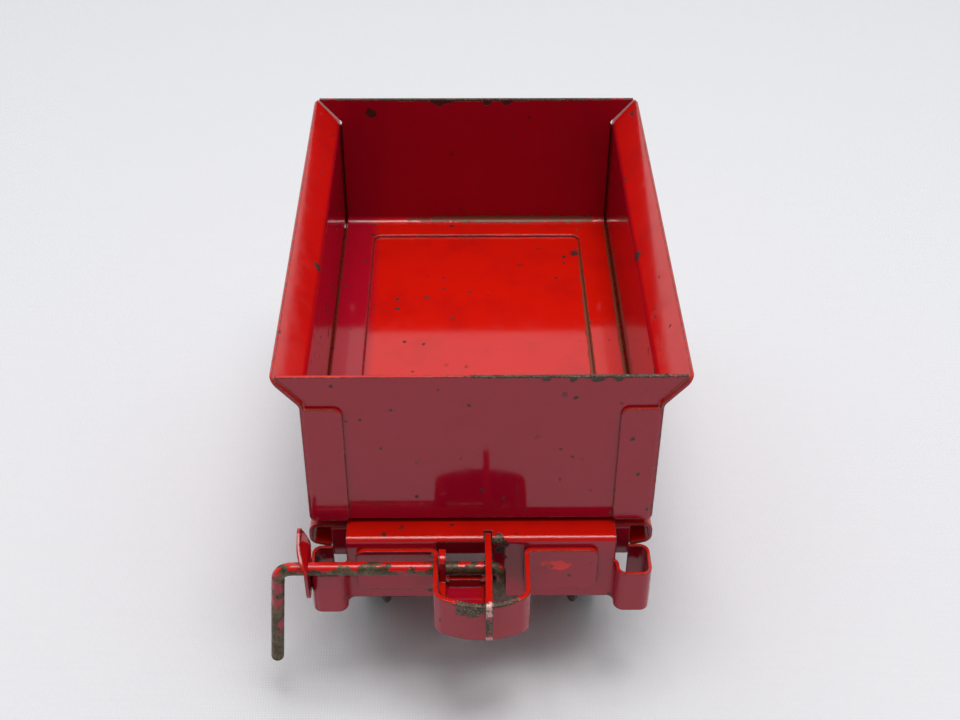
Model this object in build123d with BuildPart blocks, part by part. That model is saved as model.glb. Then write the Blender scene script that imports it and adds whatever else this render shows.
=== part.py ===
from build123d import *
import os

os.makedirs("parts", exist_ok=True)

# Model goods wagon in pressed steel: a flared open body on a four-wheel flat frame with
# stake pockets, a strap-and-hook coupler at each end and side uncoupling rods.
# X is across the wagon, Y along it (front end at -Y), Z up. The origin is on the ground
# under the middle of the wagon. All sizes are millimetres.

# ---------------------------------------------------------------- driving dimensions
sheet = 0.8                 # body and frame sheet
heavy_sheet = 1.2           # coupler straps and axle hangers
hook_sheet = 1.6            # coupler hooks

bed = 50.0                  # frame datum above the ground, just over the headstock flange
deck_length = 129.1         # between the two lines from which the end fittings are measured

body_length = 131.8         # over the corner flanges
body_width = 82.6           # over the upright side walls
body_lift = 1.3             # body's bottom edge above the frame datum
wall_height = 36.0          # bottom edge to the flare bend
body_height = 43.9          # bottom edge to the rim
flare_width = 95.2          # over the flared rims

floor_lift = 1.7            # floor's upper face above the bottom edge
pan_margin = 10.0           # plain floor at each end of the pressed pan
pan_width = 62.7
pan_depth = 0.9
pan_corner = 2.2            # corner radius of the pan
flange_width = 9.6          # each side's corner flanges, on the end panels
flange_top = 35.0           # above the body's bottom edge
foot_inside = 34.0          # half width between the sides' inturned feet
foot_gap = 4.5              # each foot stops this far from the ends

frame_drop = 0.9            # frame plate's upper face below the datum
frame_reach = 0.5           # frame plate beyond the deck line at each end
bead_outside = 41.9         # half width over the rolled side beads
bead_inside = 36.7
bead_height = 7.6
bead_slant = 1.4            # the lip falls this much from the side to its inner edge
bearer_half = 27.0          # half length of the cross bearers under the body
bearer_foot = 10.0          # half width over a bearer's feet
bearer_crown = 5.5          # half width of a bearer's crown
member_flange = 7.0         # cross member's flange under the plate
member_bottom = -11.3

# Places on the end fittings: reach is beyond the deck line, heights are from the datum.
headstock_half = 32.6       # to the inner walls of the stake pockets
headstock_reach = 6.5
headstock_tail = 8.0        # top flange's length back under the body
headstock_bottom = -20.0
pocket_top = -7.3
pocket_outside = 41.2
pocket_reach = 11.4
pocket_back = 1.3
pocket_bend = 2.0
pocket_free_end = 36.2      # where the pocket strip stops on its back

strap_top = -3.0
strap_height = 13.0
strap_fall = 1.5            # how much lower the strap's upper edge is at the front
strap_half = 11.5
strap_foot_left = 30.2
strap_foot_right = 28.3
strap_reach = 24.2          # at the middle of its bowed front
strap_bow = 3.4             # how far the front's corners lie behind its middle
slope_start = 13.5          # the upper edge slopes down from here to the front

guide_bottom = -15.0        # rod guide, from the datum
guide_flare_start = -3.6
guide_flare_end = -0.2
guide_top = 3.0
guide_flare = 2.1           # how far its top stands out from its foot

rod_diameter = 3.2
rod_reach = 11.0
rod_drop = 5.2              # rod axis below the datum
rod_clearance = 0.08        # all round, in the guide and the strap
handle_top_x = -48.6
handle_foot_x = -51.4
handle_drop = 37.6
crank_x = 4.3
crank_drop = 15.2

hook_x = 1.6                # middle of the hook plate
ear_x = -9.35               # middle of the hook's short ear
hook_top = -0.4
tail_back = 4.0
tail_low = -6.4
nose_front = 28.3
nose_back = 25.9
nose_low = -12.0
throat_back = 21.6
throat_top = -2.5
plate_low = -9.5            # hook plate's lower edge over the web
web_back = 11.4
web_front = 18.8
web_low = -11.2
web_corner = 3.2            # plan radius that clears the strap's corner as the hook lifts
wall_top = -7.2             # low walls round the web, clear of the rod's underside
ear_back = 8.9
ear_front = 13.5
ear_top = 0.2

wheel_radius = 19.0         # over the flange
tread_radius = 16.8
axle_diameter = 4.0
axle_clearance = 0.06       # all round, in the hangers
axle_half = 37.8
wheelbase = 75.6
wheel_back = 24.0           # half the distance between the flange backs
wheel_front = 33.0
hub_front = 34.2
hub_radius = 4.6            # over the boss, with a little draft
rim_inside = 13.5           # inner radius of the rim, with a little draft
disc_back = 3.0             # disc's faces, ahead of the flange back
disc_front = 4.8
hanger_x = 35.2             # middle of the hanger plate

# ---------------------------------------------------------------- derived places
end_y = -body_length / 2
deck_y = -deck_length / 2
body_base = bed + body_lift
rim_z = body_base + body_height
bend_z = body_base + wall_height
floor_z = body_base + floor_lift
frame_z = bed - frame_drop
rod_y = deck_y - rod_reach
rod_z = bed - rod_drop
axle_z = wheel_radius


def out(distance):
    """Y of a point this far beyond the front deck line."""
    return deck_y - distance


def save(piece, name):
    """Name a finished piece and write it."""
    piece.part.label = name
    export_step(piece.part, f"parts/{name}.step")


# ---------------------------------------------------------------- body
# The floor and both ends are one folded sheet; the ends carry ears that fill the flares.
end_mid = -end_y - 1.5 * sheet
ear_half = flare_width / 2 - 1.35
panel_half = body_width / 2 - sheet - 0.42
with BuildPart() as tub_shell:
    with BuildSketch(Plane.YZ) as fold:
        with BuildLine():
            FilletPolyline(
                (-end_mid, rim_z),
                (-end_mid, floor_z - sheet / 2),
                (end_mid, floor_z - sheet / 2),
                (end_mid, rim_z),
                radius=2.2,
            )
        trace(line_width=sheet)
        # A lip below the floor bend brings each end down to the bottom edge.
        lip_height = floor_lift + 2.0
        with Locations((-end_mid, body_base), (end_mid, body_base)):
            Rectangle(sheet, lip_height, align=(Align.CENTER, Align.MIN))
    extrude(amount=flare_width / 2, both=True)
    with BuildSketch(Plane.XZ) as end_outline:
        with BuildLine():
            Polyline(
                (0, body_base - 5),
                (panel_half, body_base - 5),
                (panel_half, bend_z + 0.5),
                (ear_half, rim_z - 0.2),
                (ear_half, rim_z),
                (0, rim_z),
            )
            mirror(about=Plane.YZ)
        make_face()
    extrude(amount=body_length, both=True, mode=Mode.INTERSECT)
    # The middle of the floor is pressed down into a shallow pan.
    pan_length = body_length - 2 * pan_margin
    pan_floor = floor_z - pan_depth
    with BuildSketch(Plane.XY.offset(pan_floor - sheet)):
        RectangleRounded(pan_width + 2 * sheet, pan_length + 2 * sheet, pan_corner + sheet)
    extrude(amount=pan_depth)
    with BuildSketch(Plane.XY.offset(pan_floor)):
        RectangleRounded(pan_width, pan_length, pan_corner)
    extrude(amount=pan_depth + 1, mode=Mode.SUBTRACT)
    pan_edges = tub_shell.edges().filter_by(GeomType.LINE).filter_by(
        lambda e: abs(e.center().Z - floor_z) < 0.01
        and (
            abs(abs(e.center().X) - pan_width / 2) < 0.01
            or abs(abs(e.center().Y) - pan_length / 2) < 0.01
        )
    )
    chamfer(pan_edges, 0.35)
save(tub_shell, "tub_shell")

# Each side is a pressing with an inward foot, a flared rim and a flange at each corner.
wall_mid = body_width / 2 - sheet / 2
flare_tip = flare_width / 2 - 0.35
with BuildPart() as tub_right_side:
    with BuildSketch(Plane.XY.offset(body_base)) as corner_flanges:
        with BuildLine():
            FilletPolyline(
                (body_width / 2 - flange_width, end_y + sheet / 2),
                (wall_mid, end_y + sheet / 2),
                (wall_mid, -end_y - sheet / 2),
                (body_width / 2 - flange_width, -end_y - sheet / 2),
                radius=0.9,
            )
        trace(line_width=sheet)
    extrude(amount=flange_top)
    inner_corners = (
        tub_right_side.edges()
        .filter_by(Axis.Y)
        .filter_by(lambda e: e.center().X < body_width / 2 - flange_width + 0.1)
    )
    fillet(inner_corners.group_by(Axis.Z)[-1], 2.2)
    fillet(inner_corners.group_by(Axis.Z)[0], 1.3)
    with BuildSketch(Plane.XZ) as side_section:
        with BuildLine():
            FilletPolyline(
                (foot_inside, body_base + sheet / 2),
                (wall_mid, body_base + sheet / 2),
                (wall_mid, bend_z),
                (flare_tip, rim_z - 0.3),
                radius=[1.0, 3.0],
            )
        trace(line_width=sheet)
    extrude(amount=-end_y - 0.2, both=True)
    # The foot stops short of the corners, where the end panels curve into the floor.
    foot_width = wall_mid - sheet / 2 - foot_inside
    with BuildSketch(Plane.XY.offset(body_base - 0.5)):
        with Locations((foot_inside, end_y), (foot_inside, -end_y)):
            Rectangle(2 * foot_width, 2 * foot_gap)
            Rectangle(2 * foot_width, 2 * sheet, mode=Mode.SUBTRACT)
    extrude(amount=sheet + 0.6, mode=Mode.SUBTRACT)
    rim_corners = (
        tub_right_side.edges()
        .filter_by(GeomType.LINE)
        .filter_by(lambda e: e.center().Z > rim_z - 1.2 and abs(e.length - sheet) < 0.01)
    )
    fillet(rim_corners, 2.4)
save(tub_right_side, "tub_right_side")

with BuildPart() as tub_left_side:
    add(tub_right_side.part, rotation=(0, 0, 180))
save(tub_left_side, "tub_left_side")

# ---------------------------------------------------------------- frame
# A flat top plate whose long edges are rolled down and inward into side beads.
plate_mid = frame_z - sheet / 2
bead_out_mid = bead_outside - sheet / 2
bead_low_mid = frame_z - bead_height + sheet / 2
with BuildPart() as frame_plate:
    with BuildSketch(Plane.XZ) as frame_section:
        with BuildLine():
            FilletPolyline(
                (0, plate_mid),
                (bead_out_mid, plate_mid),
                (bead_out_mid, bead_low_mid + bead_slant),
                (bead_inside, bead_low_mid),
                radius=[2.0, 2.0],
            )
        trace(line_width=sheet)
        mirror(about=Plane.YZ)
    extrude(amount=-deck_y + frame_reach, both=True)
save(frame_plate, "frame_plate")

# Cross bearers of hat section stand on the plate and carry the body over each axle.
bearer_y = -wheelbase / 2
bearer_low = frame_z + sheet / 2
bearer_high = body_base - sheet / 2
with BuildPart() as front_body_bearer:
    with BuildSketch(Plane.YZ) as hat_section:
        with BuildLine():
            FilletPolyline(
                (bearer_y - bearer_foot, bearer_low),
                (bearer_y - bearer_crown, bearer_low),
                (bearer_y - bearer_crown, bearer_high),
                (bearer_y + bearer_crown, bearer_high),
                (bearer_y + bearer_crown, bearer_low),
                (bearer_y + bearer_foot, bearer_low),
                radius=0.6,
            )
        trace(line_width=sheet)
    extrude(amount=bearer_half, both=True)

# A turned-down angle closes each end of the frame between the beads.
member_mid = deck_y
with BuildPart() as front_cross_member:
    with BuildSketch(Plane.YZ) as angle_section:
        with BuildLine():
            FilletPolyline(
                (member_mid + member_flange, frame_z - 1.5 * sheet),
                (member_mid, frame_z - 1.5 * sheet),
                (member_mid, bed + member_bottom),
                radius=0.9,
            )
        trace(line_width=sheet)
    extrude(amount=bead_inside - 0.2, both=True)
    low_corners = front_cross_member.edges().filter_by(Axis.Y).group_by(Axis.Z)[0]
    fillet(low_corners, 0.6)

# Headstock: a top flange, a deep face and, at each end, a strip bent round into a pocket.
face_mid = out(headstock_reach - sheet / 2)
pocket_in_mid = headstock_half + sheet / 2
pocket_out_mid = pocket_outside - sheet / 2
pocket_front_mid = out(pocket_reach - sheet / 2)
pocket_back_mid = out(pocket_back + sheet / 2)
tail_slot = (0.6, 2.6)
face_window = (-10.9, 2.6)
window_top = -1.2
window_bottom = -13.6
with BuildPart() as front_headstock:
    with BuildSketch(Plane.YZ) as headstock_section:
        with BuildLine():
            FilletPolyline(
                (deck_y + headstock_tail, frame_z + sheet / 2),
                (face_mid, frame_z + sheet / 2),
                (face_mid, bed + headstock_bottom),
                radius=1.1,
            )
        trace(line_width=sheet)
    extrude(amount=headstock_half - 0.1, both=True)
    with BuildSketch(Plane.XY.offset(bed + headstock_bottom)) as pocket_strip:
        with BuildLine():
            FilletPolyline(
                (headstock_half - 4, face_mid),
                (pocket_in_mid, face_mid),
                (pocket_in_mid, pocket_front_mid),
                (pocket_out_mid, pocket_front_mid),
                (pocket_out_mid, pocket_back_mid),
                (pocket_free_end, pocket_back_mid),
                radius=pocket_bend,
            )
        trace(line_width=sheet)
        mirror(about=Plane.YZ)
    extrude(amount=pocket_top - headstock_bottom)
    # The face is pierced for the hook's tail, with a slot on up through the flange.
    with BuildSketch(Plane.XZ.offset(-out(3.6))) as tail_window:
        with BuildLine():
            Polyline(
                (face_window[0], bed + window_top),
                (tail_slot[0], bed + window_top),
                (tail_slot[0], bed + 1),
                (tail_slot[1], bed + 1),
                (tail_slot[1], bed + window_bottom),
                (face_window[0], bed + window_bottom),
                (face_window[0], bed + window_top),
            )
        make_face()
    extrude(amount=headstock_reach + 1, mode=Mode.SUBTRACT)

# Coupler strap: a bowed loop with two feet on the headstock face.
foot_mid = out(headstock_reach + heavy_sheet / 2)
leg_mid = strap_half - heavy_sheet / 2
with BuildPart() as front_coupler_strap:
    with BuildSketch(Plane.XY.offset(bed + strap_top - strap_height)) as strap_plan:
        with BuildLine():
            FilletPolyline(
                (-strap_foot_left, foot_mid),
                (-leg_mid, foot_mid),
                (-leg_mid, out(strap_reach - strap_bow)),
                (0, out(strap_reach + 0.75)),
                (leg_mid, out(strap_reach - strap_bow)),
                (leg_mid, foot_mid),
                (strap_foot_right, foot_mid),
                radius=[1.3, 3.0, 20.0, 3.0, 1.3],
            )
        trace(line_width=heavy_sheet)
    extrude(amount=strap_height)
    foot_corners = front_coupler_strap.edges().filter_by(Axis.Y).filter_by(
        lambda e: e.center().X < 0.1 - strap_foot_left or e.center().X > strap_foot_right - 0.1
    )
    fillet(foot_corners, 2.2)
    # The upper edge slopes down from just ahead of the rod to the front.
    cut_front = strap_reach + 2
    cut_fall = strap_fall * (cut_front - slope_start) / (strap_reach - slope_start)
    with BuildSketch(Plane.YZ) as slope_cut:
        with BuildLine():
            Polyline(
                (out(slope_start), bed + strap_top),
                (out(cut_front), bed + strap_top - cut_fall),
                (out(cut_front), bed + strap_top + 1),
                (out(slope_start), bed + strap_top + 1),
                (out(slope_start), bed + strap_top),
            )
        make_face()
    extrude(amount=strap_half + 1, both=True, mode=Mode.SUBTRACT)
    with BuildSketch(Plane.YZ.offset(-leg_mid)) as strap_hole:
        with Locations((rod_y, rod_z)):
            Circle(rod_diameter / 2 + rod_clearance)
    extrude(amount=heavy_sheet, both=True, mode=Mode.SUBTRACT)

# Rod guide: a flared tongue on the outer wall of the left pocket, pierced for the rod.
guide_mid = -pocket_outside - sheet / 2
with BuildPart() as front_rod_guide:
    with BuildSketch(Plane.XZ.offset(-out(0))) as guide_section:
        with BuildLine():
            FilletPolyline(
                (guide_mid, bed + guide_bottom),
                (guide_mid, bed + guide_flare_start),
                (guide_mid - guide_flare, bed + guide_flare_end),
                (guide_mid - guide_flare, bed + guide_top),
                radius=2.4,
            )
        trace(line_width=sheet)
    extrude(amount=20)
    with BuildSketch(Plane.YZ) as guide_outline:
        with Locations((out(10.9), bed - 10.4)):
            Circle(3.5)
        with Locations((rod_y, rod_z)):
            Circle(3.9)
        with Locations((out(5.0), bed - 0.6)):
            Circle(2.2)
        make_hull()
    extrude(amount=-50, mode=Mode.INTERSECT)
    with BuildSketch(Plane.YZ.offset(guide_mid)) as guide_hole:
        with Locations((rod_y, rod_z)):
            Circle(rod_diameter / 2 + rod_clearance)
    extrude(amount=3, both=True, mode=Mode.SUBTRACT)

# ---------------------------------------------------------------- coupler
# Hook: a folded channel of hook plate, floor and low walls, with an ear astride the rod.
with BuildPart() as front_coupler_hook:
    with BuildSketch(Plane.XZ.offset(-out(web_back))) as channel_section:
        with BuildLine():
            FilletPolyline(
                (ear_x, bed + wall_top),
                (ear_x, bed + web_low + hook_sheet / 2),
                (hook_x, bed + web_low + hook_sheet / 2),
                (hook_x, bed + wall_top),
                radius=1.6,
            )
        trace(line_width=hook_sheet)
    extrude(amount=web_front - web_back)
    with BuildSketch(Plane.XY.offset(bed + web_low)) as web_plan:
        with Locations(((ear_x + hook_x) / 2, out((web_back + web_front) / 2))):
            Rectangle(hook_x - ear_x + hook_sheet, web_front - web_back)
        front_left = web_plan.vertices().sort_by(Axis.Y)[0:2].sort_by(Axis.X)[0]
        fillet(front_left, web_corner)
    extrude(amount=wall_top - web_low, mode=Mode.INTERSECT)
    # The web's rear edge is turned up under the rod.
    with BuildSketch(Plane.XZ.offset(-out(web_back))) as rear_wall:
        with Locations(((ear_x + hook_x) / 2, bed + web_low)):
            Rectangle(
                hook_x - ear_x - 2 * hook_sheet,
                wall_top - web_low,
                align=(Align.CENTER, Align.MIN),
            )
    extrude(amount=hook_sheet)
    with BuildSketch(Plane.YZ.offset(ear_x)) as ear:
        with BuildLine():
            Polyline(
                (out(ear_back), bed + ear_top),
                (out(ear_front), bed + ear_top),
                (out(ear_front), bed + plate_low),
                (out(ear_back), bed + plate_low),
                close=True,
            )
        make_face()
        fillet(ear.vertices().group_by(Axis.Y)[-1], 1.8)
    extrude(amount=hook_sheet / 2, both=True)
    with BuildSketch(Plane.YZ.offset(hook_x)) as hook_plate:
        with BuildLine():
            Polyline(
                (out(tail_back), bed + hook_top),
                (out(nose_front), bed + hook_top),
                (out(nose_front - 0.4), bed + nose_low + 0.5),
                (out(nose_front - 1.2), bed + nose_low),
                (out(nose_back), bed + plate_low),
                (out(nose_back), bed + throat_top),
                (out(throat_back), bed + throat_top),
                (out(web_front), bed + plate_low),
                (out(web_back), bed + plate_low),
                (out(tail_back), bed + tail_low),
                close=True,
            )
        make_face()
        nose = hook_plate.vertices().sort_by(Axis.X)[0:2].sort_by(Axis.Y)[-1]
        fillet(nose, 2.0)
    extrude(amount=hook_sheet / 2, both=True)
    with BuildSketch(Plane.YZ.offset(ear_x)) as rod_bore:
        with Locations((rod_y, rod_z)):
            Circle(rod_diameter / 2)
    extrude(amount=20, both=True, mode=Mode.SUBTRACT)

# Uncoupling rod: a round bar with a hanging handle at the side and a short crank inside.
with BuildPart() as front_uncoupling_rod:
    with BuildLine(Plane.XZ.offset(-rod_y)) as rod_path:
        FilletPolyline(
            (handle_foot_x, bed - handle_drop),
            (handle_top_x, rod_z),
            (crank_x, rod_z),
            (crank_x, bed - crank_drop),
            radius=[3.4, 1.9],
        )
    with BuildSketch(Plane(origin=rod_path.line @ 0, z_dir=rod_path.line % 0)):
        Circle(rod_diameter / 2)
    sweep(path=rod_path.line)
    rod_ends = front_uncoupling_rod.faces().filter_by(GeomType.PLANE).edges()
    fillet(rod_ends, 1.0)

# ---------------------------------------------------------------- running gear
# Axle hanger: a flange under the frame and a plate that tapers down to the axle.
hanger_flange_z = frame_z - sheet - heavy_sheet / 2


def axle_hanger(side, end):
    """A hanger on the left (-1) or right (+1) side, at the front (-1) or rear (+1) axle."""
    with BuildPart() as hanger:
        with BuildSketch(Plane.XZ.offset(-end * wheelbase / 2)) as hanger_section:
            with BuildLine():
                FilletPolyline(
                    (side * 27.5, hanger_flange_z),
                    (side * hanger_x, hanger_flange_z),
                    (side * hanger_x, axle_z - 6),
                    radius=1.4,
                )
            trace(line_width=heavy_sheet)
        extrude(amount=13, both=True)
        with BuildSketch(Plane.YZ) as hanger_outline:
            with Locations((end * wheelbase / 2, axle_z)):
                Circle(4.8)
            with Locations((end * wheelbase / 2, frame_z - 1.5)):
                Rectangle(26, 7)
            make_hull()
        extrude(amount=side * 50, mode=Mode.INTERSECT)
        with BuildSketch(Plane.YZ.offset(side * hanger_x)) as axle_hole:
            with Locations((end * wheelbase / 2, axle_z)):
                Circle(axle_diameter / 2 + axle_clearance)
        extrude(amount=heavy_sheet, both=True, mode=Mode.SUBTRACT)
    return hanger


def wheel(side, end):
    """A flanged disc wheel, hub boss outward."""
    with BuildPart() as disc:
        with BuildSketch(Plane.XY.offset(axle_z)) as wheel_section:
            with BuildLine():
                outline = [
                    (wheel_back, axle_diameter / 2),
                    (wheel_back, hub_radius - 0.2),
                    (wheel_back + disc_back, hub_radius + 0.4),
                    (wheel_back + disc_back, rim_inside - 0.3),
                    (wheel_back, rim_inside + 0.3),
                    (wheel_back, wheel_radius - 0.6),
                    (wheel_back + 0.6, wheel_radius),
                    (wheel_back + 1.4, wheel_radius),
                    (wheel_back + 2.0, wheel_radius - 0.8),
                    (wheel_back + 2.6, tread_radius),
                    (wheel_front - 0.5, tread_radius - 0.5),
                    (wheel_front, tread_radius - 1.0),
                    (wheel_front, rim_inside + 0.3),
                    (wheel_back + disc_front, rim_inside - 0.3),
                    (wheel_back + disc_front, hub_radius + 0.6),
                    (hub_front, hub_radius - 0.4),
                    (hub_front, axle_diameter / 2),
                ]
                Polyline(
                    [(side * x, end * wheelbase / 2 + r) for x, r in outline],
                    close=True,
                )
            make_face()
        revolve(axis=Axis((0, end * wheelbase / 2, axle_z), (1, 0, 0)))
    return disc


def axle(end):
    """A plain axle with rounded ends."""
    with BuildPart() as bar:
        with BuildSketch(Plane.YZ) as axle_section:
            with Locations((end * wheelbase / 2, axle_z)):
                Circle(axle_diameter / 2)
        extrude(amount=axle_half, both=True)
        fillet(bar.edges().filter_by(GeomType.CIRCLE), 0.8)
    return bar


for end, end_name in ((-1, "front"), (1, "rear")):
    save(axle(end), f"{end_name}_axle")
    for side, side_name in ((-1, "left"), (1, "right")):
        save(wheel(side, end), f"{end_name}_{side_name}_wheel")
        save(axle_hanger(side, end), f"{end_name}_{side_name}_axle_hanger")

# ---------------------------------------------------------------- both ends
# The rear end is the front end turned half round about the wagon's centre.
end_pieces = {
    "body_bearer": front_body_bearer,
    "cross_member": front_cross_member,
    "headstock": front_headstock,
    "coupler_strap": front_coupler_strap,
    "rod_guide": front_rod_guide,
    "coupler_hook": front_coupler_hook,
    "uncoupling_rod": front_uncoupling_rod,
}
for name, front_piece in end_pieces.items():
    save(front_piece, f"front_{name}")
    with BuildPart() as rear_piece:
        add(front_piece.part, rotation=(0, 0, 180))
    save(rear_piece, f"rear_{name}")
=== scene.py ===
import math

import bmesh
import bpy
from mathutils import Matrix, Vector


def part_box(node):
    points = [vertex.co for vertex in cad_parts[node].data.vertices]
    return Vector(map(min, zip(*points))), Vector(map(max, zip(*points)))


# The pressed-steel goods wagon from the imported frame, in worn scarlet enamel, on a pale
# ribbed cloth under soft studio light. Lengths are metres; mm(...) turns millimetres into
# metres where the text reads better that way.

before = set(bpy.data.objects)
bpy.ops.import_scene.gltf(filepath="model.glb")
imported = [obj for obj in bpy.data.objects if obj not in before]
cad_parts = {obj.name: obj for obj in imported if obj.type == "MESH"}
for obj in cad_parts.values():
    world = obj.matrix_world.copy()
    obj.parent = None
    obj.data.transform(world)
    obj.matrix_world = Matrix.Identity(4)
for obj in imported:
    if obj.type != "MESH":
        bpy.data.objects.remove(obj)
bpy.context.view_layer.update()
scene = bpy.context.scene


def mm(*values):
    """Millimetres to metres: one number, or a vector."""
    if len(values) == 1:
        return values[0] / 1000
    return Vector([v / 1000 for v in values])


# ---------------------------------------------------------------- places from the frame
shell_low, shell_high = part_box("tub_shell")
side_low, side_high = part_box("tub_right_side")
head_low, head_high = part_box("front_headstock")
strap_low, strap_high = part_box("front_coupler_strap")
hook_low, hook_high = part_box("front_coupler_hook")
rim_z = shell_high.z
front_y = side_low.y
rear_y = side_high.y
floor_z = shell_low.z + mm(1)


# ---------------------------------------------------------------- node helpers
class Nodes:
    """A small writer for one material's node tree."""

    def __init__(self, name):
        self.material = bpy.data.materials.new(name)
        self.material.use_nodes = True
        self.tree = self.material.node_tree
        self.tree.nodes.clear()
        coordinates = self.new("ShaderNodeTexCoord")
        self.place = coordinates.outputs["Object"]
        self.facing = coordinates.outputs["Normal"]

    def new(self, kind, **settings):
        """Add a node and set its properties."""
        node = self.tree.nodes.new(kind)
        for key, value in settings.items():
            setattr(node, key, value)
        return node

    def join(self, source, target):
        """Link an output to an input, or set the input when source is a plain value."""
        if isinstance(source, bpy.types.NodeSocket):
            self.tree.links.new(source, target)
        else:
            target.default_value = source

    def math(self, operation, a, b):
        """One sum on two values, each an output or a plain number."""
        node = self.new("ShaderNodeMath", operation=operation)
        self.join(a, node.inputs[0])
        self.join(b, node.inputs[1])
        return node.outputs[0]

    def plus(self, a, b):
        return self.math("ADD", a, b)

    def times(self, a, b):
        return self.math("MULTIPLY", a, b)

    def without(self, a, b):
        return self.math("SUBTRACT", a, b)

    def most(self, first, *others):
        """The largest of several values."""
        for other in others:
            first = self.math("MAXIMUM", first, other)
        return first

    def vector(self, operation, a, b):
        """One operation on two vectors; lengths and dot products come out as numbers."""
        node = self.new("ShaderNodeVectorMath", operation=operation)
        self.join(a, node.inputs[0])
        self.join(b, node.inputs[1])
        return node.outputs["Value" if operation in ("LENGTH", "DOT_PRODUCT") else "Vector"]

    def step(self, value, low, high):
        """0 below low, 1 above high, smooth between."""
        node = self.new("ShaderNodeMapRange", interpolation_type="SMOOTHSTEP")
        self.join(value, node.inputs["Value"])
        node.inputs["From Min"].default_value = low
        node.inputs["From Max"].default_value = high
        return node.outputs["Result"]

    def noise(self, size, detail=3.0, rough=0.5, stretch=(1, 1, 1), shift=0.0, warp=0.0):
        """Noise whose features are about size metres across, longer where stretch is over 1."""
        scale = [1 / (size * s) for s in stretch]
        moved = self.vector("MULTIPLY_ADD", self.place, scale)
        moved.node.inputs[2].default_value = (shift, shift * 0.7, -shift)
        node = self.new("ShaderNodeTexNoise")
        self.join(moved, node.inputs["Vector"])
        node.inputs["Scale"].default_value = 1.0
        node.inputs["Detail"].default_value = detail
        node.inputs["Roughness"].default_value = rough
        node.inputs["Distortion"].default_value = warp
        return node.outputs["Fac"]

    def mix(self, factor, a, b):
        """Colour a where factor is 0, colour b where it is 1."""
        node = self.new("ShaderNodeMix", data_type="RGBA")
        self.join(factor, node.inputs[0])
        for colour, socket in ((a, node.inputs[6]), (b, node.inputs[7])):
            self.join(colour if not isinstance(colour, tuple) else (*colour, 1), socket)
        return node.outputs[2]

    def spot(self, centre, radii, ragged, soft=0.08):
        """1 inside an ellipsoid about a point of the row frame, with a ragged edge."""
        offset = self.vector("SUBTRACT", self.place, tuple(centre))
        scaled = self.vector("MULTIPLY", offset, tuple(1 / r for r in radii))
        far = self.vector("LENGTH", scaled, (0, 0, 0))
        return self.step(self.plus(far, ragged), 1 + soft, 1 - soft)

    def specks(self, pitch, share, radius, ragged, shift=0.0):
        """Scattered flakes: a share of the cells of this pitch hold one, up to this radius."""
        moved = self.vector("ADD", self.place, (shift, shift * 0.7, -shift))
        cells = self.new("ShaderNodeTexVoronoi")
        self.join(moved, cells.inputs["Vector"])
        cells.inputs["Scale"].default_value = 1 / pitch
        dice = self.new("ShaderNodeSeparateColor")
        self.join(cells.outputs["Color"], dice.inputs[0])
        held = self.math("GREATER_THAN", dice.outputs[0], 1 - share)
        size = self.times(dice.outputs[1], radius / pitch)
        reach = self.plus(cells.outputs["Distance"], self.times(ragged, 0.85))
        inside = self.math("LESS_THAN", reach, size)
        return self.times(held, inside)

    def upward(self, low, high):
        """0 on upright faces, 1 on faces that look up."""
        parts = self.new("ShaderNodeSeparateXYZ")
        self.join(self.facing, parts.inputs[0])
        return self.step(parts.outputs[2], low, high)

    def rounded(self, radius):
        """The softly rounded normal, and how far it turns: about 0.3 on a square edge."""
        bevel = self.new("ShaderNodeBevel", samples=4)
        bevel.inputs["Radius"].default_value = radius
        geometry = self.new("ShaderNodeNewGeometry")
        along = self.vector("DOT_PRODUCT", bevel.outputs[0], geometry.outputs["Normal"])
        return bevel.outputs[0], self.without(1.0, along)

    def hollow(self, distance):
        """1 deep in a corner or seam, 0 in the open."""
        ao = self.new("ShaderNodeAmbientOcclusion", samples=4)
        ao.inputs["Distance"].default_value = distance
        return self.without(1.0, ao.outputs["AO"])

    def finish(self, colour, roughness, metallic, height, depth, normal=None):
        """The surface: one Principled shader with a bump over the given normal."""
        bump = self.new("ShaderNodeBump")
        bump.inputs["Strength"].default_value = 1.0
        bump.inputs["Distance"].default_value = depth
        self.join(height, bump.inputs["Height"])
        if normal is not None:
            self.join(normal, bump.inputs["Normal"])
        shader = self.new("ShaderNodeBsdfPrincipled")
        self.join(colour, shader.inputs["Base Color"])
        self.join(roughness, shader.inputs["Roughness"])
        self.join(metallic, shader.inputs["Metallic"])
        self.join(bump.outputs[0], shader.inputs["Normal"])
        output = self.new("ShaderNodeOutputMaterial")
        self.join(shader.outputs[0], output.inputs["Surface"])
        return shader


# ---------------------------------------------------------------- materials
# Painted light: the scarlet is the enamel as lit on faces that look up, the crimson as shaded on
# upright faces.
TOP_LIT_SCARLET = (0.70, 0.0080, 0.0026)
SIDE_SHADED_CRIMSON = (0.37, 0.0030, 0.0210)
OLD_RED = (0.30, 0.0040, 0.0060)
FRESH_RED = (0.80, 0.006, 0.010)
BROWN = (0.112, 0.072, 0.040)
DEEP_BROWN = (0.070, 0.047, 0.030)
DARK = (0.028, 0.012, 0.010)
BARE = (0.30, 0.245, 0.185)
# Pale pink: rubbed bare metal with a painted highlight.
PINK_BARE_AND_HIGHLIGHT = (0.66, 0.40, 0.37)
# Brown of dirt, also used as painted shade in seams.
DIRT_AND_SHADE = (0.085, 0.055, 0.018)
FLAKE = (0.060, 0.016, 0.012)
ROD_BROWN = (0.155, 0.115, 0.058)
ROD_DEEP_BROWN = (0.075, 0.052, 0.030)
IRON = (0.070, 0.060, 0.055)
BROWN_IRON = (0.115, 0.085, 0.066)
RUBBED_IRON = (0.33, 0.31, 0.28)
IRON_HOLLOW_DARK = (0.035, 0.026, 0.018)
AXLE_STEEL = (0.42, 0.40, 0.37)
AXLE_FILM = (0.16, 0.115, 0.075)
CLOTH_LOW = (0.80, 0.80, 0.82)
CLOTH_HIGH = (0.86, 0.865, 0.88)

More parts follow.
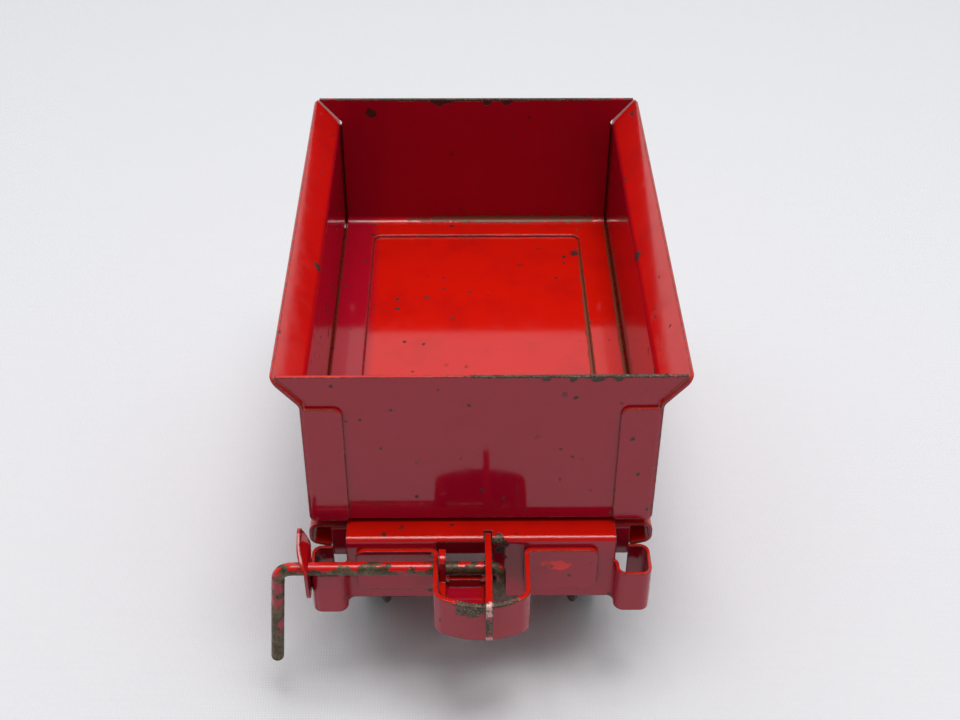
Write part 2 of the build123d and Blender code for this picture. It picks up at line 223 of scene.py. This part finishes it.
EDGE_REACH = mm(0.55)           # how far from an edge the enamel is rounded and rubbed
SEAM_REACH = mm(1.8)            # how near two sheets are where seams are darkened with dirt and painted shade
ENAMEL_THICKNESS = mm(0.09)
ENAMEL_ROUGHNESS = 0.075
BARE_ROUGHER = 0.40             # added roughness where the enamel is gone or dirty
RIB_PITCH = mm(0.75)            # of the cloth


def worn_metal(n, fine, middle):
    """Olive-brown metal, peppered dark and pale, as it shows where enamel has gone."""
    brown = n.mix(n.step(middle, 0.40, 0.60), BROWN, DEEP_BROWN)
    peppered = n.mix(n.step(fine, 0.53, 0.58), brown, DARK)
    return n.mix(n.step(fine, 0.42, 0.37), peppered, BARE)


def any_spot(n, spots, ragged, soft=0.08):
    """1 inside any of the listed spots."""
    inside = 0.0
    for centre, radii in spots:
        inside = n.most(inside, n.spot(centre, radii, ragged, soft))
    return inside


def enamel(name, wear=0.5, shift=0.0, hollow_darkening=0.5, chips=(), worn=(), rubbed=(), bright=(),
           stains=(), shade_spots=()):
    """Glossy enamel with painted light, scarlet where it looks up and crimson on upright faces:
    edges worn to brown metal, flakes, hairlines, and seams darkened by dirt and painted shade.

    wear, and how dark the seams are with dirt and painted shade, run from 0 to 1, and shift
    moves the noise so that no two pieces match. The rest are lists of spots: chips, worn metal,
    metal rubbed pink under a painted highlight, bright paint, stains, and painted shade spots
    that keep the darker upright-face crimson.
    """
    n = Nodes(name)
    fine = n.noise(mm(0.42), 3.0, 0.65, shift=shift + 3)
    middle = n.noise(mm(2.2), 4.0, 0.62, shift=shift + 7, warp=0.3)
    broad = n.noise(mm(12), 2.0, 0.5, shift=shift)
    ragged = n.without(middle, 0.5)
    normal, turned = n.rounded(EDGE_REACH)
    inside = n.hollow(SEAM_REACH)

    # Painted light: faces that look up are painted a lighter orange-scarlet and upright faces a
    # darker crimson, as the light falls; listed spots are painted in the darker crimson as shade.
    lit_from_above = n.upward(0.10, 0.80)
    if shade_spots:
        shade_kept = n.times(any_spot(n, shade_spots, 0.0, 0.30), 0.85)
        lit_from_above = n.times(lit_from_above, n.without(1.0, shade_kept))
    paint = n.mix(lit_from_above, SIDE_SHADED_CRIMSON, TOP_LIT_SCARLET)
    paint = n.mix(n.times(n.step(broad, 0.45, 0.75), 0.22), paint, OLD_RED)

    # Outer edges of the sheet are rubbed through, never the inside corners.
    open_edge = n.step(inside, 0.60, 0.40)
    worn_line = n.step(n.plus(turned, n.times(ragged, 0.55)),
                       0.080 - 0.05 * wear, 0.105 - 0.05 * wear)
    near_edge = n.times(open_edge, n.step(turned, 0.006, 0.030))
    lost = n.times(worn_line, near_edge)

    # Flakes: small ones everywhere, larger ones where the noise gathers, and listed chips.
    gather = n.step(broad, 0.46, 0.62)
    small = n.specks(mm(2.6), 0.12 + 0.18 * wear, mm(0.60), ragged, shift + 11)
    large = n.specks(mm(5.5), 0.45 * wear, mm(1.5), ragged, shift + 19)
    flakes = n.most(small, n.times(large, gather))
    ragged_edge = n.times(ragged, 1.9)
    flakes = n.most(flakes, any_spot(n, chips, ragged_edge))
    lost = n.most(lost, any_spot(n, worn, ragged_edge))

    # Hairline scratches in two directions.
    hairline = 0.0
    for stretch, turn in (((9, 1, 0.35), 17), ((0.5, 7, 0.3), 23)):
        lines = n.noise(mm(1.1), 2.0, 0.45, stretch=stretch, shift=shift + turn)
        places = n.noise(mm(7), 2.0, 0.5, shift=shift + turn + 2)
        line = n.times(n.step(lines, 0.715, 0.735), n.step(places, 0.60, 0.66))
        hairline = n.most(hairline, line)

    # Seams and inside corners are darkened brown, part dirt and part painted shade; the listed
    # stains are dirt.
    seam_dirt_and_shade = n.times(n.step(inside, 0.46, 0.78), n.step(middle, 0.26, 0.60))
    seam_dirt_and_shade = n.times(seam_dirt_and_shade, hollow_darkening)
    seam_dirt_and_shade = n.most(seam_dirt_and_shade, n.times(any_spot(n, stains, ragged_edge), 0.75))
    scratched = n.times(hairline, 0.7)
    colour = n.mix(scratched, paint, DARK)
    colour = n.mix(any_spot(n, bright, ragged_edge), colour, FRESH_RED)
    colour = n.mix(seam_dirt_and_shade, colour, DIRT_AND_SHADE)
    colour = n.mix(flakes, colour, n.mix(n.step(fine, 0.45, 0.60), FLAKE, DARK))
    colour = n.mix(lost, colour, worn_metal(n, fine, middle))
    # Painted highlight: listed spots are painted pale pink over metal rubbed bare.
    rubbed_and_highlight = any_spot(n, rubbed, ragged_edge)
    colour = n.mix(rubbed_and_highlight, colour, n.mix(n.step(fine, 0.50, 0.60), PINK_BARE_AND_HIGHLIGHT, BROWN))

    gone = n.most(flakes, lost, seam_dirt_and_shade, rubbed_and_highlight)
    smear = n.times(n.step(n.noise(mm(5), 3.0, 0.6, shift=shift + 31), 0.45, 0.7), 0.05)
    roughness = n.plus(n.plus(smear, ENAMEL_ROUGHNESS), n.times(gone, BARE_ROUGHER))
    metallic = n.times(n.most(rubbed_and_highlight, lost), 0.45)

    # Enamel is about a tenth of a millimetre thick, with a faint orange-peel skin.
    peel = n.times(n.noise(mm(1.5), 2.0, 0.5, shift=shift + 37), 0.035)
    level = n.without(peel, n.most(gone, n.times(hairline, 0.4)))
    n.finish(colour, roughness, metallic, level, ENAMEL_THICKNESS, normal)
    return n.material


def rod_steel(name):
    """Olive-brown bar, mottled dark, with what is left of its red enamel."""
    n = Nodes(name)
    fine = n.noise(mm(0.5), 4.0, 0.7)
    middle = n.noise(mm(1.8), 4.0, 0.65, shift=5.0, warp=0.4)
    patches = n.noise(mm(5.5), 4.0, 0.62, shift=9.0, warp=0.5)
    steel = n.mix(n.step(middle, 0.38, 0.62), ROD_BROWN, ROD_DEEP_BROWN)
    steel = n.mix(n.step(fine, 0.54, 0.62), steel, DARK)
    lean = n.times(n.upward(0.0, 0.9), 0.075)
    red = n.step(n.plus(patches, lean), 0.565, 0.58)
    # Painted light: the red left on the bar is lighter scarlet where it looks up and darker
    # crimson on its sides.
    colour = n.mix(red, steel, n.mix(n.upward(0.1, 0.8), SIDE_SHADED_CRIMSON, TOP_LIT_SCARLET))
    gloss = n.without(0.42, n.times(red, 0.30))
    roughness = n.plus(n.times(fine, 0.15), gloss)
    metallic = n.times(n.without(1.0, red), 0.5)
    height = n.plus(n.times(fine, 0.5), red)
    n.finish(colour, roughness, metallic, height, mm(0.06))
    return n.material


def cast_iron(name):
    """Dark cast metal, slightly pitted, with the tread and flange rubbed brighter."""
    n = Nodes(name)
    fine = n.noise(mm(0.5), 5.0, 0.7)
    middle = n.noise(mm(2.5), 4.0, 0.6, shift=5.0)
    colour = n.mix(n.step(middle, 0.35, 0.68), IRON, BROWN_IRON)
    normal, turned = n.rounded(mm(0.5))
    rubbed = n.step(n.plus(turned, n.times(fine, 0.10)), 0.10, 0.22)
    colour = n.mix(rubbed, colour, RUBBED_IRON)
    # The hollows are darkened towards near-black.
    hollow_darkening = n.step(n.hollow(mm(3)), 0.35, 0.8)
    colour = n.mix(hollow_darkening, colour, IRON_HOLLOW_DARK)
    roughness = n.without(0.55, n.times(rubbed, 0.2))
    n.finish(colour, roughness, 0.75, n.times(fine, 0.8), mm(0.10), normal)
    return n.material


def axle_steel(name):
    """Drawn steel with fine turning marks round the axle and a brown film."""
    n = Nodes(name)
    rings = n.noise(mm(0.3), 2.0, 0.5, stretch=(1, 60, 60))
    film = n.noise(mm(4), 4.0, 0.6)
    colour = n.mix(n.step(film, 0.40, 0.66), AXLE_STEEL, AXLE_FILM)
    roughness = n.plus(n.times(rings, 0.25), 0.25)
    n.finish(colour, roughness, 0.9, rings, mm(0.02))
    return n.material


def cloth(name):
    """Pale cloth with a fine cross rib."""
    n = Nodes(name)
    weave = 0.0
    for direction in ("X", "Y"):
        wave = n.new("ShaderNodeTexWave", bands_direction=direction)
        n.join(n.place, wave.inputs["Vector"])
        wave.inputs["Scale"].default_value = 0.314 / RIB_PITCH
        wave.inputs["Distortion"].default_value = 0.6
        wave.inputs["Detail"].default_value = 1.0
        wave.inputs["Detail Scale"].default_value = 3.0
        weave = n.plus(weave, wave.outputs["Fac"])
    slub = n.noise(mm(3), 4.0, 0.6, stretch=(4, 1, 1))
    tone = n.times(n.plus(weave, slub), 0.33)
    colour = n.mix(tone, CLOTH_LOW, CLOTH_HIGH)
    shader = n.finish(colour, 0.9, 0.0, tone, mm(0.10))
    shader.inputs["Sheen Weight"].default_value = 0.15
    return n.material


# ---------------------------------------------------------------- where the paint has gone
def beside(x_mm, y, z, radii):
    """A spot by its X in millimetres, its Y and Z in metres and its radii in millimetres."""
    return Vector((mm(x_mm), y, z)), mm(*radii)


def on_rim(x_mm, width_mm, rear=False, drop_mm=0.6):
    """A chip on the upper edge of the front or rear end panel."""
    y = rear_y - mm(1.2) if rear else front_y + mm(1.2)
    return beside(x_mm, y, rim_z - mm(drop_mm), (width_mm, 2.0, 0.9 + drop_mm))


def at(low, high, x=0.5, y=0.0, z=1.0, radii=(2, 2, 2)):
    """A spot at fractions of a node's box, with radii in millimetres."""
    place = [low[i] + (high[i] - low[i]) * part for i, part in enumerate((x, y, z))]
    return Vector(place), mm(*radii)


rim_worn = [
    beside(0, rear_y - mm(1), rim_z + mm(0.1), (43, 2.5, 0.75)),
    beside(22, front_y + mm(1), rim_z + mm(0.1), (30, 2.5, 0.55)),
]
body_chips = [
    on_rim(-10.5, 3.4, rear=True),
    on_rim(3.0, 1.3, rear=True),
    on_rim(9.0, 1.6, rear=True),
    on_rim(14.5, 1.3, drop_mm=0.2),
    on_rim(20.5, 0.9, drop_mm=0.2),
    on_rim(26.0, 2.0, drop_mm=0.2),
    on_rim(30.5, 1.2, drop_mm=0.2),
]
floor_stains = [
    beside(31.2, mm(-4), floor_z, (0.7, 58, 2.5)),
    beside(39.9, 0, floor_z, (0.6, 66, 2.5)),
    beside(10, rear_y - mm(1.6), floor_z + mm(1.2), (32, 1.5, 1.5)),
]
# Painted shade: these spots keep the left floor margin and the hook's web in the darker
# upright-face crimson.
left_margin_shade = [beside(-36.2, mm(6), floor_z, (6.0, 95, 4))]
hook_web_shade = [at(hook_low, hook_high, 0.35, 0.55, 0.05, (7, 9, 3))]
strap_worn = [
    at(strap_low, strap_high, 0.47, 0.0, 0.80, (4.6, 2.5, 2.4)),
    at(strap_low, strap_high, 0.55, 0.0, 0.93, (9.0, 3.0, 1.0)),
]
strap_bright = [at(strap_low, strap_high, 0.83, 0.95, 0.62, (3.2, 3.0, 1.5))]
hook_worn = [at(hook_low, hook_high, 0.9, 0.0, 0.45, (2.5, 1.4, 2.6))]
# Painted highlight: the hook's nose bend and lower tip, rubbed bare, are painted pale pink.
hook_rubbed_highlights = [
    at(hook_low, hook_high, 0.85, 0.03, 0.86, (2.5, 1.7, 2.3)),
    at(hook_low, hook_high, 0.85, 0.02, 0.02, (2.5, 1.7, 1.3)),
]
bend_y = head_low.y + mm(5.2)
headstock_worn = [beside(4.3, bend_y, head_high.z - mm(0.8), (1.8, 2.0, 1.1))]
headstock_chips = [beside(4.6, bend_y, head_high.z - mm(3.5), (1.2, 1.6, 1.2))]

# Every node takes the first finish whose name its own name ends with.
finishes = {
    "tub_shell": enamel("body_enamel_shell", wear=0.40, shift=0.0, hollow_darkening=0.8, chips=body_chips,
                        worn=rim_worn, stains=floor_stains, shade_spots=left_margin_shade),
    "tub_left_side": enamel("body_enamel_left", wear=0.55, shift=40.0, hollow_darkening=0.8),
    "tub_right_side": enamel("body_enamel_right", wear=0.60, shift=55.0, hollow_darkening=0.8),
    "frame_plate": enamel("frame_enamel_plate", wear=0.6, shift=61.0, hollow_darkening=0.9),
    "headstock": enamel("frame_enamel_headstock", wear=0.45, shift=73.0, hollow_darkening=0.7,
                        chips=headstock_chips, worn=headstock_worn),
    "coupler_strap": enamel("coupler_enamel_strap", wear=0.9, shift=81.0, hollow_darkening=0.5,
                            worn=strap_worn, bright=strap_bright),
    "coupler_hook": enamel("coupler_enamel_hook", wear=0.7, shift=91.0, hollow_darkening=0.4,
                           worn=hook_worn, rubbed=hook_rubbed_highlights, shade_spots=hook_web_shade),
    "small": enamel("frame_enamel_small", wear=0.8, shift=103.0, hollow_darkening=0.8),
    "uncoupling_rod": rod_steel("rod_steel"),
    "wheel": cast_iron("wheel_iron"),
    "axle": axle_steel("axle_steel"),
}


def finish_for(node):
    """The node's own finish, or the one for small frame pieces."""
    for ending, material in finishes.items():
        if node.endswith(ending):
            return material
    return finishes["small"]


for node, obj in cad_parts.items():
    obj.data.materials.clear()
    obj.data.materials.append(finish_for(node))

# ---------------------------------------------------------------- floor
floor_mesh = bpy.data.meshes.new("cloth_floor")
floor = bpy.data.objects.new("cloth_floor", floor_mesh)
scene.collection.objects.link(floor)
floor_shape = bmesh.new()
floor_half = 5.0
bmesh.ops.create_grid(floor_shape, x_segments=8, y_segments=8, size=floor_half)
floor_shape.to_mesh(floor_mesh)
floor_shape.free()
floor_mesh.materials.append(cloth("pale_cloth"))

# ---------------------------------------------------------------- light
# The room is dim in front of the wagon and bright behind and above it. A band low down all
# round keeps the far distance pale.
world = bpy.data.worlds.new("studio")
scene.world = world
world.use_nodes = True
tree = world.node_tree
sky = tree.nodes["Background"]
direction = tree.nodes.new("ShaderNodeTexCoord")


def brightening(towards, start, end, low, high):
    """The room's brightness, rising smoothly from low to high towards one direction.

    start and end are cosines of the angle from that direction.
    """
    along = tree.nodes.new("ShaderNodeVectorMath")
    along.operation = "DOT_PRODUCT"
    tree.links.new(direction.outputs["Generated"], along.inputs[0])
    along.inputs[1].default_value = Vector(towards).normalized()
    rise = tree.nodes.new("ShaderNodeMapRange")
    rise.interpolation_type = "SMOOTHSTEP"
    for name, value in (("From Min", start), ("From Max", end), ("To Min", low), ("To Max", high)):
        rise.inputs[name].default_value = value
    tree.links.new(along.outputs["Value"], rise.inputs["Value"])
    return rise.outputs["Result"]


def added(first, second):
    """The sum of two brightnesses."""
    total = tree.nodes.new("ShaderNodeMath")
    total.operation = "ADD"
    tree.links.new(first, total.inputs[0])
    tree.links.new(second, total.inputs[1])
    return total.outputs[0]


behind = brightening((0, 0.75, 0.65), -0.35, 0.75, 0.06, 0.62)
overhead = brightening((0, 0.50, 0.87), 0.80, 1.0, 0.0, 0.55)
horizon = brightening((0, 0, -1), -0.40, -0.02, 0.0, 0.36)
sky.inputs["Color"].default_value = (0.965, 0.975, 1.0, 1.0)
tree.links.new(added(added(behind, overhead), horizon), sky.inputs["Strength"])


middle_of_wagon = Vector((0, 0, 0.06))


def soft_light(name, place, size, power):
    """A square soft box aimed at the middle of the wagon."""
    lamp = bpy.data.lights.new(name, "AREA")
    lamp.shape = "SQUARE"
    lamp.size = size
    lamp.energy = power
    holder = bpy.data.objects.new(name, lamp)
    holder.location = place
    aim = middle_of_wagon - holder.location
    holder.rotation_euler = aim.to_track_quat("-Z", "Y").to_euler()
    scene.collection.objects.link(holder)


soft_light("overhead_box", place=Vector((0.06, -0.10, 1.30)), size=0.6, power=9.0)

# ---------------------------------------------------------------- camera
# A hand-held view down over the front end: place, pitch below level, slight turn and tilt.
camera_place = mm(-4.27, -308.2, 293.6)
pitch = 0.6723
turn = 0.0155
tilt = 0.006
lens_mm = 52.83
forward = Vector((math.sin(turn) * math.cos(pitch), math.cos(turn) * math.cos(pitch),
                  -math.sin(pitch)))
level = Vector((math.cos(turn), -math.sin(turn), 0))
upright = level.cross(forward)
across = math.cos(tilt) * level + math.sin(tilt) * upright
above = -math.sin(tilt) * level + math.cos(tilt) * upright
camera_data = bpy.data.cameras.new("camera")
camera_data.lens = lens_mm
camera_data.sensor_width = 36.0
camera_data.clip_start = 0.01
camera = bpy.data.objects.new("camera", camera_data)
turned_to = Matrix((across, above, -forward)).transposed().to_4x4()
camera.matrix_world = Matrix.Translation(camera_place) @ turned_to
scene.collection.objects.link(camera)
scene.camera = camera

scene.view_settings.view_transform = "Standard"
